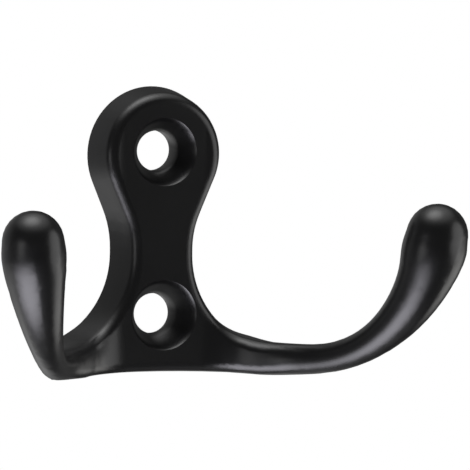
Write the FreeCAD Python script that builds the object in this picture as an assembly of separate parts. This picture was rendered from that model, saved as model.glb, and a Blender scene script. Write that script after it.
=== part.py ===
"""Cast double robe hook: a keyhole back plate and two mirrored prongs, one casting, millimetres.

Frame: +Z up, front toward -Y, the flat back face on Y = 0, origin midway between the two
screw holes. Sizes of depth are given forward from the wall, so depth d lies at Y = -d.
"""
import FreeCAD, Part
import math
import os

V = FreeCAD.Vector

# plate: each outline size is the one at the flat back, and its draft is what it loses (or, for
# the foot, rises) by the front face; the head is a circle round the upper hole
plate_thickness = 5.8
head_radius = 10.12
head_draft = 1.2
head_drop = 0.6
head_rise = 0.25
flank_back = 4.64
flank_front = 6.13
neck_half = 6.4
neck_draft = 1.78
neck_straight = 0.8
skirt_radius = 13.9
skirt_turn = 47.0
flare_radius = 9.0
flare_tilt = 12.0
arm_height = 5.44
arm_draft = 0.77
foot = 8.8
foot_draft = 0.55
foot_sag_back = 1.1
foot_sag_front = 1.9
front_rounding = 1.6

# the two countersunk screw holes; a bore's depth is from the wall to where its cone starts
hole_spacing = 24.3
hole_radius = 3.0
upper_rim = 4.85
upper_bore = 2.1
lower_rim = 5.0
lower_bore = 1.3
rim_bevel = 0.25

# prong root: the plate's own section bends forward off the wall
bend_start_front = 6.0
bend_radius_front = 9.0
bend_turn_front = 42.0
bend_start_back = 12.0
bend_radius_back = 4.5
bend_turn_back = 58.0
bend_run_back = 0.8
root_lead = 0.7

# stations along the prong, from the middle of its root: out, forward and up to the centre
# line, half height and half width of the section, and how far the section has turned from
# the plate's own shape (0) into a round one (1)
prong_stations = (
    (4.15, 5.25, -0.12, 2.42, 2.35, 0.6),
    (8.22, 12.02, 0.60, 2.20, 2.08, 1),
    (11.70, 18.27, 3.20, 2.50, 2.38, 1),
    (14.85, 23.52, 8.10, 3.30, 3.30, 1),
    (16.87, 26.50, 13.70, 4.25, 4.32, 1),
    (17.75, 27.67, 18.10, 4.80, 4.74, 1),
)
tip_start = 2.1
tip_lead = 0.9
tip_slope = 7.0
tip_radius = 4.55
section_points = 5
join = 0.01


def on_wall(x, z, depth):
    """Point at x, height z and a depth forward of the wall."""
    return V(x, -depth, z)


def arc_point(c, r, degrees):
    a = math.radians(degrees)
    return (c[0] + r * math.cos(a), c[1] + r * math.sin(a))


def waist(head_z, head_r, half, neck_top, flank):
    """Ends and middle of the waist's arc, and the head's end of the straight flank above it.

    The arc leaves the neck upright, and the flank, of a given length, touches arc and head.
    """
    drop = head_z - neck_top
    r = (half ** 2 + drop ** 2 - head_r ** 2 - flank ** 2) / (2 * (head_r - half))
    c = (half + r, neck_top)
    turn = math.atan2(-drop, c[0]) + math.acos((head_r + r) / math.hypot(c[0], drop))
    head_end = (head_r * math.cos(turn), head_z + head_r * math.sin(turn))
    middle = arc_point(c, r, (math.degrees(turn) + 360) / 2)
    end = (c[0] - r * math.cos(turn), c[1] - r * math.sin(turn))
    return head_end, end, middle, (half, neck_top)


def plate_outline(depth, reach):
    """Closed front-view outline at a depth: head, flank, waist, skirt, flare and arm stub a side."""
    def pt(p, side=1):
        return on_wall(side * p[0], p[1], depth)

    k = depth / plate_thickness
    head_r = head_radius - k * head_draft
    head_z = hole_spacing / 2 - head_drop + k * head_rise
    half = neck_half - k * neck_draft
    bottom = -hole_spacing / 2 - foot + k * foot_draft
    sag = foot_sag_back + k * (foot_sag_front - foot_sag_back)
    arm_top = bottom + arm_height - k * arm_draft
    turn = math.radians(skirt_turn)
    tilt = math.radians(flare_tilt)
    neck_bottom = arm_top + flare_radius * (math.cos(tilt) - math.sin(turn)) + skirt_radius * math.sin(turn)
    head_end, waist_end, waist_mid, waist_low = waist(
        head_z, head_r, half, neck_bottom + neck_straight, flank_back + k * (flank_front - flank_back))
    skirt_c = (half + skirt_radius, neck_bottom)
    skirt_top = (half, neck_bottom)
    skirt_mid = arc_point(skirt_c, skirt_radius, 180 + skirt_turn / 2)
    skirt_end = arc_point(skirt_c, skirt_radius, 180 + skirt_turn)
    flare_c = arc_point(skirt_end, flare_radius, skirt_turn)
    flare_mid = arc_point(flare_c, flare_radius, 180 + (skirt_turn + 90 - flare_tilt) / 2)
    flare_end = arc_point(flare_c, flare_radius, 270 - flare_tilt)
    stub_top = (reach, arm_top - (reach - flare_end[0]) * math.tan(tilt))
    stub_low = (reach, bottom - sag)

    def half_edges(side):
        return [
            Part.Arc(pt(waist_end, side), pt(waist_mid, side), pt(waist_low, side)).toShape(),
            Part.makeLine(pt(waist_low, side), pt(skirt_top, side)),
            Part.Arc(pt(skirt_top, side), pt(skirt_mid, side), pt(skirt_end, side)).toShape(),
            Part.Arc(pt(skirt_end, side), pt(flare_mid, side), pt(flare_end, side)).toShape(),
            Part.makeLine(pt(flare_end, side), pt(stub_top, side)),
            Part.makeLine(pt(stub_top, side), pt(stub_low, side)),
        ]

    edges = [Part.Arc(pt(head_end, -1), on_wall(0, head_z + head_r, depth), pt(head_end)).toShape(),
             Part.makeLine(pt(head_end), pt(waist_end))]
    edges += half_edges(1)
    edges.append(Part.Arc(pt(stub_low), on_wall(0, bottom, depth), pt(stub_low, -1)).toShape())
    edges += half_edges(-1)
    edges.append(Part.makeLine(pt(waist_end, -1), pt(head_end, -1)))
    return Part.Wire(Part.__sortEdges__(edges))


def bend_point(front, part):
    """Plan point (x, depth) a part of the way round the front or the back bend."""
    if front:
        start, depth, radius, turn = bend_start_front, plate_thickness, bend_radius_front, bend_turn_front
    else:
        start, depth, radius, turn = bend_start_back, 0, bend_radius_back, bend_turn_back
    a = math.radians(part * turn)
    return (start + radius * math.sin(a), depth + radius * (1 - math.cos(a)))


def root_ends(extra=0):
    """Plan points at the back and front of the prong's root, or of a section a little past it."""
    x, depth = bend_point(False, 1)
    a = math.radians(bend_turn_back)
    run = bend_run_back + extra
    back = (x + run * math.cos(a), depth + run * math.sin(a))
    return back, bend_point(True, front_part(extra))


def front_part(extra):
    """How far round its bend the front face goes, to the root or a little past it."""
    return 1 + extra / (bend_radius_front * math.radians(bend_turn_front))


def bent_slab(extra):
    """Plan of the plate with both ends bent forward, run up through the full height."""
    def plan(p, side):
        return V(side * p[0], -p[1], -40)

    edges = [Part.makeLine(plan((bend_start_back, 0), -1), plan((bend_start_back, 0), 1)),
             Part.makeLine(plan((bend_start_front, plate_thickness), -1),
                           plan((bend_start_front, plate_thickness), 1))]
    for side in (1, -1):
        for is_front, last in ((True, front_part(extra)), (False, 1)):
            a, b, c = [plan(bend_point(is_front, t * last), side) for t in (0, 0.5, 1)]
            edges.append(Part.Arc(a, b, c).toShape())
        back, front = [plan(p, side) for p in root_ends(extra)]
        edges += [Part.makeLine(plan(bend_point(False, 1), side), back), Part.makeLine(back, front)]
    wire = Part.Wire(Part.__sortEdges__(edges))
    return Part.Face(wire).extrude(V(0, 0, 80))


def past_root():
    """Blocks that take off all that lies past the two roots."""
    back, front = root_ends()
    run = (front[0] - back[0], front[1] - back[1])
    corners = [(back[0] - run[0], back[1] - run[1]), (front[0] + run[0], front[1] + run[1])]
    corners += [(x + run[1], d - run[0]) for x, d in reversed(corners)]
    blocks = []
    for side in (1, -1):
        points = [V(side * x, -d, -40) for x, d in corners]
        blocks.append(Part.Face(Part.makePolygon(points + points[:1])).extrude(V(0, 0, 80)))
    return blocks


def faces_front(face):
    """True for the flat front face and the two bent ones beside it."""
    if isinstance(face.Surface, Part.Plane):
        return abs(face.CenterOfMass.y + plate_thickness) < 1e-3
    return (isinstance(face.Surface, Part.Cylinder)
            and abs(face.Surface.Radius - bend_radius_front) < 1e-3
            and abs(face.Surface.Axis.z) > 0.99)


def at_end(shape, extra):
    """True for a shape whose middle is on the plane of the root, or of the section past it."""
    back, front = root_ends(extra)
    point = shape.CenterOfMass
    x, depth = abs(point.x) - front[0], -point.y - front[1]
    along = (back[0] - front[0], back[1] - front[1])
    return abs(x * along[1] - depth * along[0]) / math.hypot(*along) < 1e-3


def end_face(body, extra):
    """The flat face that ends a body on the right, at the root or at the section past it."""
    return [f for f in body.Faces if f.CenterOfMass.x > 0 and at_end(f, extra)
            and isinstance(f.Surface, Part.Plane) and abs(f.Surface.Axis.z) < 1e-6][0]


def plate_body():
    """Back plate and both bent stubs, the front edge rounded all the way along, a bit too long."""
    back, front = root_ends(root_lead)
    walls = Part.makeLoft([plate_outline(0, back[0] + 5), plate_outline(front[1] + 1, back[0] + 5)], True, True)
    body = walls.common(bent_slab(root_lead)).Solids[0]
    used = {}
    for face in body.Faces:
        if faces_front(face):
            for edge in face.Edges:
                used.setdefault(edge.hashCode(), []).append(edge)
    rim = [e[0] for e in used.values() if len(e) == 1 and not at_end(e[0], root_lead)]
    return body.makeFillet(front_rounding, rim)


def smooth_edge(points, start, end):
    """A curve through the points, evenly timed, so that all sections of a loft match in make."""
    curve = Part.BSplineCurve()
    steps = [k / (len(points) - 1) for k in range(len(points))]
    curve.interpolate(Points=points, Parameters=steps, InitialTangent=start, FinalTangent=end)
    return curve.toShape()


def outline_rows(face):
    """Each edge of an end face as a row of points, in order; the first lies along the back."""
    rows = [edge.discretize(Number=section_points) for edge in face.OuterWire.OrderedEdges]
    for k, row in enumerate(rows):
        after = rows[(k + 1) % len(rows)]
        if min(row[0].distanceToPoint(p) for p in (after[0], after[-1])) < 1e-3:
            row.reverse()
    for k, row in enumerate(rows):
        row[-1] = rows[(k + 1) % len(rows)][0]
    first = max(range(len(rows)), key=lambda k: sum(p.y for p in rows[k]))
    return rows[first:] + rows[:first]


def section_wire(rows, smooth_all=False):
    """One prong section, a curve a row, smooth where the rows are."""
    count = len(rows)
    starts, ends = [None] * count, [None] * count
    for k in range(count):
        before, after = rows[k - 1], rows[k]
        t0 = (before[-1] - before[-2]) * 2 - (before[-2] - before[-3])
        t1 = (after[1] - after[0]) * 2 - (after[2] - after[1])
        t0.normalize()
        t1.normalize()
        if smooth_all or t0.getAngle(t1) < math.radians(15):
            t0 = t1 = (t0 + t1).normalize()
        ends[k - 1], starts[k] = t0, t1
    return Part.Wire([smooth_edge(row, a, b) for row, a, b in zip(rows, starts, ends)])


def root_shape(rows):
    """The root section as rows of (across, up) from -1 to 1, and its middle and direction."""
    back, front = root_ends()
    across = V(front[0] - back[0], -(front[1] - back[1]), 0)
    half_width = across.Length / 2
    across.normalize()
    heights = [p.z for row in rows for p in row]
    half_height = (max(heights) - min(heights)) / 2
    middle = on_wall((back[0] + front[0]) / 2, (max(heights) + min(heights)) / 2, (back[1] + front[1]) / 2)
    flat = [[((p - middle).dot(across) / half_width, (p.z - middle.z) / half_height) for p in row]
            for row in rows]
    return flat, middle, across


def morph(flat, roundness):
    """Rows part of the way from the root section to a circle."""
    out = []
    for row in flat:
        a0 = math.atan2(row[0][1], row[0][0])
        a1 = math.atan2(row[-1][1], row[-1][0])
        turn = (a1 - a0 + math.pi) % (2 * math.pi) - math.pi
        line = []
        for k, (a, u) in enumerate(row):
            angle = a0 + turn * k / (len(row) - 1)
            line.append((a + roundness * (math.cos(angle) - a), u + roundness * (math.sin(angle) - u)))
        out.append(line)
    return out


def section_axes(line, point, across):
    """Directions of the section at a station: along the prong, across it and up."""
    along = line.tangent(line.parameter(point))[0]
    side = V(0, 0, 1).cross(along).normalize()
    if side.dot(across) < 0:
        side = side * -1
    up = side.cross(along).normalize()
    if up.z < 0:
        up = up * -1
    return along, side, up


def prong(long_body, body):
    """The right prong: lofted on from the plate's bent stub, with a round tip."""
    root_rows = outline_rows(end_face(body, 0))
    wires = [section_wire(root_rows), section_wire(outline_rows(end_face(long_body, root_lead)))]
    flat, middle, across = root_shape(root_rows)
    points = [middle + V(x, -depth, z) for x, depth, z, _, _, _ in prong_stations]
    line = Part.BSplineCurve()
    line.interpolate(Points=[middle] + points)

    def add(centre, side, up, high, wide, roundness):
        rows = [[centre + side * (a * wide) + up * (u * high) for a, u in row] for row in morph(flat, roundness)]
        wires.append(section_wire(rows, roundness > 0.9))

    for point, (_, _, _, high, wide, roundness) in zip(points, prong_stations):
        along, side, up = section_axes(line, point, across)
        add(point, side, up, high, wide, roundness)
    slope = math.radians(tip_slope)
    for back_off in (tip_lead, 0):
        r = tip_radius * math.cos(slope) + back_off * math.tan(slope)
        add(points[-1] + along * (tip_start - back_off), side, up, r, r, 1)
    bar = Part.makeLoft(wires, True, False)
    centre = points[-1] + along * (tip_start - tip_radius * math.sin(slope))
    return [bar, Part.makeSphere(tip_radius, centre, along, tip_slope, 90, 360)]


def screw_hole(z, rim, bore):
    """Cutter for one screw hole: straight bore, countersink cone and a bevelled rim."""
    profile = [(0, -1), (hole_radius, -1), (hole_radius, bore), (rim, plate_thickness - rim_bevel),
               (rim + rim_bevel, plate_thickness), (rim + rim_bevel, plate_thickness + 3),
               (0, plate_thickness + 3), (0, -1)]
    face = Part.Face(Part.makePolygon([on_wall(x, z, depth) for x, depth in profile]))
    return face.revolve(on_wall(0, z, 0), V(0, 1, 0), 360)


def double_hook():
    """The whole casting."""
    long_body = plate_body()
    body = long_body.cut(past_root())
    right = prong(long_body, body)
    left = [s.mirror(V(0, 0, 0), V(1, 0, 0)) for s in right]
    body = body.fuse(right + left, join)
    body = body.cut([screw_hole(hole_spacing / 2, upper_rim, upper_bore),
                     screw_hole(-hole_spacing / 2, lower_rim, lower_bore)])
    return body.Solids[0]


if __name__ == "__main__":
    hook = double_hook()
    print("valid", hook.isValid(), "faces", len(hook.Faces), "vol", round(hook.Volume, 1), hook.ShapeType)
    os.makedirs("parts", exist_ok=True)
    hook.exportStep("parts/double_hook.step")
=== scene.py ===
import math

import bmesh
import bpy
from mathutils import Matrix, Vector


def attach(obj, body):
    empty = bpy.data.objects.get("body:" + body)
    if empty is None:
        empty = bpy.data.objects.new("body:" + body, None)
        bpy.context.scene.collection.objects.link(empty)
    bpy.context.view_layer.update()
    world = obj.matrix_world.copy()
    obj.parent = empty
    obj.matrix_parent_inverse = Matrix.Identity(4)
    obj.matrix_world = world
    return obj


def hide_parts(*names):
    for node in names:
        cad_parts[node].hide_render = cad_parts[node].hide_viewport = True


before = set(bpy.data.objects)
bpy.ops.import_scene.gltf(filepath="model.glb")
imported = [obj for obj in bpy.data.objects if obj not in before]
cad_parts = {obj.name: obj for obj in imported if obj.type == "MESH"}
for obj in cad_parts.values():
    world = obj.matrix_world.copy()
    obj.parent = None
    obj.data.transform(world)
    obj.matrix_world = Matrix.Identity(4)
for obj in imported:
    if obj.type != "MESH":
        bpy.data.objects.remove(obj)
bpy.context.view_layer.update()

# Camera: level with the plate and a little above it, to the hook's left, far off with a long
# lens, so that the picture is nearly free of perspective. The hook leans under half a degree.
turn, lift, lean = math.radians(22.939), math.radians(3.477), math.radians(-0.432)
camera_distance = 1.6
off_centre, below_centre = 0.01273, 0.00045
right = Vector((math.cos(turn), -math.sin(turn), 0))
up = Vector((math.sin(turn) * math.sin(lift), math.cos(turn) * math.sin(lift), math.cos(lift)))
back = right.cross(up)
aim = right * off_centre - up * below_centre
across = right * math.cos(lean) - up * math.sin(lean)
upward = right * math.sin(lean) + up * math.cos(lean)
camera = bpy.data.objects.new("camera", bpy.data.cameras.new("camera"))
camera.matrix_world = (Matrix.Translation(aim + back * camera_distance)
                       @ Matrix((across, upward, back)).transposed().to_4x4())
camera.data.lens = 821.9
camera.data.clip_start, camera.data.clip_end = 0.05, 20
bpy.context.scene.collection.objects.link(camera)
bpy.context.scene.camera = camera

# Casting: the keyhole plate and both prongs are one zinc die casting, barrel polished and
# then sprayed with a satin black powder coat that leaves a fine orange-peel skin.
coat = bpy.data.materials.new("satin_black_powder_coat")
coat.use_nodes = True
nodes, links = coat.node_tree.nodes, coat.node_tree.links
shader = nodes["Principled BSDF"]
place = nodes.new("ShaderNodeTexCoord")


def unevenness(per_metre, detail):
    noise = nodes.new("ShaderNodeTexNoise")
    noise.inputs["Scale"].default_value = per_metre
    noise.inputs["Detail"].default_value = detail
    links.new(place.outputs["Object"], noise.inputs["Vector"])
    return noise.outputs["Fac"]


peel_depth = 0.00004
heights = nodes.new("ShaderNodeMix")
heights.inputs["Factor"].default_value = 0.5
links.new(unevenness(2600, 2), heights.inputs["A"])
links.new(unevenness(320, 1), heights.inputs["B"])
peel = nodes.new("ShaderNodeBump")
peel.inputs["Strength"].default_value = 0.25
peel.inputs["Distance"].default_value = peel_depth
links.new(heights.outputs["Result"], peel.inputs["Height"])
links.new(peel.outputs["Normal"], shader.inputs["Normal"])

cloud = unevenness(90, 4)
satin = nodes.new("ShaderNodeMapRange")
satin.inputs["To Min"].default_value = 0.27
satin.inputs["To Max"].default_value = 0.32
links.new(cloud, satin.inputs["Value"])
links.new(satin.outputs["Result"], shader.inputs["Roughness"])
black = nodes.new("ShaderNodeValToRGB")
black.color_ramp.elements[0].color = (0.0022, 0.0022, 0.0023, 1)
black.color_ramp.elements[1].color = (0.0040, 0.0040, 0.0042, 1)
links.new(cloud, black.inputs["Fac"])
links.new(black.outputs["Color"], shader.inputs["Base Color"])

# The casting comes as loose patches, which shade with a faint line where two of them meet. A
# welded copy is smooth from patch to patch. Its corners stay crisp, and its flats stay flat.
weld_gap = 0.000002
crisp_corner = math.radians(29)
foot_top, front_rim = -0.013, -0.00425
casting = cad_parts["double_hook"]
bm = bmesh.new()
bm.from_mesh(casting.data)
bmesh.ops.remove_doubles(bm, verts=bm.verts, dist=weld_gap)
bmesh.ops.recalc_face_normals(bm, faces=bm.faces)
for face in bm.faces:
    face.smooth = True
    face.material_index = 0
for edge in bm.edges:
    edge.smooth = edge.is_manifold and edge.calc_face_angle() < crisp_corner
flats = bm.verts.layers.deform.verify()
for vert in bm.verts:
    on_wall = vert.co.z > foot_top and vert.co.y > front_rim
    if on_wall or any(abs(face.normal.y) > 0.9999 for face in vert.link_faces):
        vert[flats][0] = 1
welded = bpy.data.meshes.new("welded_casting")
bm.to_mesh(welded)
bm.free()
welded.materials.append(coat)
hook = bpy.data.objects.new("welded_casting", welded)
bpy.context.scene.collection.objects.link(hook)
hook.vertex_groups.new(name="flats")
even = hook.modifiers.new("even_flats", "WEIGHTED_NORMAL")
even.keep_sharp = True
even.weight = 90
even.vertex_group = "flats"
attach(hook, "root")
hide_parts("double_hook")

# Floor: a plain pale disc well below the hook, which would hang on a wall. Seen from below it is
# clear, so that it doesn't hide the hook, and it isn't mirrored in the satin coat.
floor_radius, floor_height = 3.4, -0.34
floor_mesh = bpy.data.meshes.new("floor")
bm = bmesh.new()
bmesh.ops.create_circle(bm, cap_ends=True, segments=96, radius=floor_radius)
bmesh.ops.translate(bm, verts=bm.verts, vec=(0, 0, floor_height))
bm.to_mesh(floor_mesh)
bm.free()
floor = bpy.data.objects.new("floor", floor_mesh)
bpy.context.scene.collection.objects.link(floor)
paper = bpy.data.materials.new("pale_paper")
paper.use_nodes = True
sheet, seams = paper.node_tree.nodes, paper.node_tree.links
top_side = sheet["Principled BSDF"]
top_side.inputs["Base Color"].default_value = (0.92, 0.92, 0.92, 1)
top_side.inputs["Roughness"].default_value = 0.9
side = sheet.new("ShaderNodeNewGeometry")
clear = sheet.new("ShaderNodeBsdfTransparent")
one_sided = sheet.new("ShaderNodeMixShader")
seams.new(side.outputs["Backfacing"], one_sided.inputs["Fac"])
seams.new(top_side.outputs["BSDF"], one_sided.inputs[1])
seams.new(clear.outputs["BSDF"], one_sided.inputs[2])
seams.new(one_sided.outputs["Shader"], sheet["Material Output"].inputs["Surface"])
floor_mesh.materials.append(paper)
floor.visible_glossy = False

# Studio lamps: soft cards round the hook, each of three oval lamps one inside the other, so that
# its edge fades. They stand a little apart, because lamps in one place hide one another. The
# brightness is the one that the card itself has, where 1 is white.
rings, lamp_gap = 3, 0.03


def soft_card(name, bearing, elevation, distance, width, height, fade, brightness, tint=(1, 1, 1)):
    turned, raised = math.radians(bearing), math.radians(elevation)
    stand = distance * Vector((math.sin(turned) * math.cos(raised),
                               -math.cos(turned) * math.cos(raised), math.sin(raised)))
    for part in (1 + fade, 1, 1 - fade):
        data = bpy.data.lights.new(name, "AREA")
        data.shape = "ELLIPSE"
        data.size, data.size_y, data.color = width * part, height * part, tint
        oval = math.pi / 4 * data.size * data.size_y
        data.energy = brightness / rings * math.pi * oval
        lamp = bpy.data.objects.new(name, data)
        lamp.location = stand * (1 + lamp_gap * part)
        lamp.rotation_euler = (-stand).to_track_quat("-Z", "Y").to_euler()
        lamp.visible_camera = False
        bpy.context.scene.collection.objects.link(lamp)


soft_card("overhead", -60, 82, 0.6, 0.42, 0.42, 0.35, 3.1)
soft_card("low_left", -62, -54, 0.29, 0.29, 0.25, 0.38, 6.5, (0.93, 0.915, 1))
soft_card("left", -66, -6, 0.6, 0.28, 0.22, 0.3, 1.4)
soft_card("right", 60, 2, 0.4, 0.38, 0.48, 0.08, 1.55)
soft_card("low_right", 90, -27, 0.4, 0.3, 0.28, 0.3, 1.6, (1, 0.99, 0.97))

# Studio room: white to the camera, an even light on matt surfaces, and to the satin coat a dim
# room that brightens overhead, below and toward the wall behind, as the photograph's does.
seen, even_light, dim = 1, 0.65, 0.07
world = bpy.data.worlds.new("studio")
bpy.context.scene.world = world
world.use_nodes = True
sky, wires = world.node_tree.nodes, world.node_tree.links
lit = sky["Background"]
lit.inputs["Color"].default_value = (1, 1, 1, 1)
ray = sky.new("ShaderNodeLightPath")
heading = sky.new("ShaderNodeTexCoord")
parts = sky.new("ShaderNodeSeparateXYZ")
wires.new(heading.outputs["Generated"], parts.inputs["Vector"])
upright = parts.outputs["Z"]
wall = sky.new("ShaderNodeVectorMath")
wall.operation = "DOT_PRODUCT"
wall.inputs[1].default_value = (-0.45, 0.89, 0)
wires.new(heading.outputs["Generated"], wall.inputs[0])
toward_wall = wall.outputs["Value"]


def fade(reading, start, end, most):
    ramp = sky.new("ShaderNodeMapRange")
    ramp.interpolation_type = "SMOOTHSTEP"
    ramp.inputs["From Min"].default_value = start
    ramp.inputs["From Max"].default_value = end
    ramp.inputs["To Max"].default_value = most
    wires.new(reading, ramp.inputs["Value"])
    return ramp.outputs["Result"]


def joined(operation, first, second):
    node = sky.new("ShaderNodeMath")
    node.operation = operation
    wires.new(first, node.inputs[0])
    wires.new(second, node.inputs[1])
    return node.outputs["Value"]


def either(choice, no, yes):
    node = sky.new("ShaderNodeMix")
    wires.new(choice, node.inputs["Factor"])
    for answer, socket in ((no, node.inputs["A"]), (yes, node.inputs["B"])):
        if isinstance(answer, bpy.types.NodeSocket):
            wires.new(answer, socket)
        else:
            socket.default_value = answer
    return node.outputs["Result"]


behind = fade(toward_wall, 0.55, 0.95, 0.29)
above = fade(upright, 0.6, 0.95, 1.1)
table = fade(upright, -0.85, -1, 0.3)
table_behind = joined("MULTIPLY", fade(toward_wall, 0.35, 0.75, 0.75),
                      fade(upright, -0.2, -0.6, 1))
around = joined("ADD", joined("ADD", behind, above), joined("ADD", table, table_behind))
room = sky.new("ShaderNodeMath")
room.inputs[1].default_value = dim
wires.new(around, room.inputs[0])
glossy = joined("MAXIMUM", ray.outputs["Is Glossy Ray"], ray.outputs["Is Transmission Ray"])
mirrored = either(glossy, even_light, room.outputs["Value"])
level = either(ray.outputs["Is Camera Ray"], mirrored, seen)
wires.new(level, lit.inputs["Strength"])

bpy.context.scene.view_settings.view_transform = "Standard"
